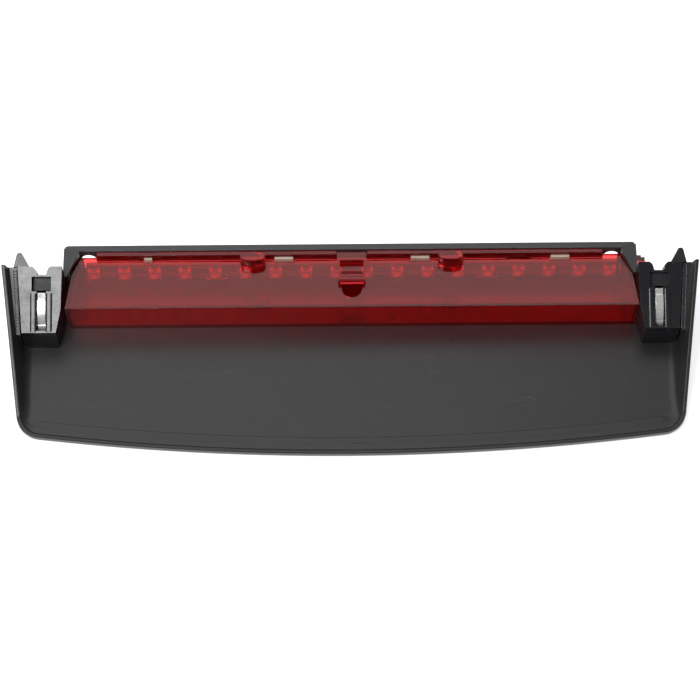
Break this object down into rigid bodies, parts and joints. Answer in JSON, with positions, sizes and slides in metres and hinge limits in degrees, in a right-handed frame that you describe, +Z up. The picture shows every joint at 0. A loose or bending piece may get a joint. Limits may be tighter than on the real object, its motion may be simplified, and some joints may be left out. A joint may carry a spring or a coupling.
{
  "type": "third brake light",
  "caption": "High-mount stop lamp for a rear window: bowed black hood, red snap-in LED lens, and clip towers with steel spring clips",
  "frame": {"origin": "under the middle of the part's overall box, on the flat underside of the hood's floor", "axes": "+X along the lamp to its right end as seen from the window side, +Y from the bowed front edge to the connector side, +Z up out of the hood's floor"},
  "size_m": [0.3896, 0.1256, 0.0406],
  "materials": {
    "hood_plastic": "fine grain",
    "tower_plastic": "satin moulded",
    "frame_plastic": "satin moulded",
    "spring_steel": "bright rolled strip",
    "red_lens": "polished, see-through",
    "red_cover": "moulded, see-through",
    "board_cream": "plain laminate",
    "led_resin": "tinted resin",
    "tinned_metal": "tinned",
    "solder_metal": "bright solder",
    "resistor_lacquer": "lacquered",
    "diode_black": "moulded",
    "connector_plastic": "moulded"
  },
  "bodies": {
    "hood": {"hood_shell": "hood_plastic", "clip_tower_left": "tower_plastic", "clip_tower_right": "tower_plastic", "spring_base_left": "spring_steel", "spring_base_right": "spring_steel", "carrier_frame": "frame_plastic", "lens_body": "red_lens", "rear_cover": "red_cover", "led_board": "board_cream", "led_bodies": "led_resin", "led_leads": "tinned_metal", "board_resistors": "resistor_lacquer", "resistor_leads": "tinned_metal", "polarity_diode": "diode_black", "solder_joints": "solder_metal", "connector_header": "connector_plastic", "connector_terminals": "tinned_metal"},
    "latch": {"release_latch": "red_cover"},
    "left_clip_leaf": {"spring_leaf_left": "spring_steel"},
    "right_clip_leaf": {"spring_leaf_right": "spring_steel"}
  },
  "joints": [
    {"name": "latch_flex", "type": "hinge", "parent": "hood", "child": "latch", "pos_m": [0.0009, 0.05275, 0.0246], "axis": [-1, 0, 0], "range_deg": [0, 12], "stiffness_Nm_per_rad": 0.12},
    {"name": "left_clip_flex", "type": "hinge", "parent": "hood", "child": "left_clip_leaf", "pos_m": [-0.1732, 0.01275, 0.01642], "axis": [-1, 0, 0], "range_deg": [0, 8], "stiffness_Nm_per_rad": 0.3},
    {"name": "right_clip_flex", "type": "hinge", "parent": "hood", "child": "right_clip_leaf", "pos_m": [0.1732, 0.01275, 0.01642], "axis": [-1, 0, 0], "range_deg": [0, 8], "stiffness_Nm_per_rad": 0.3}
  ]
}
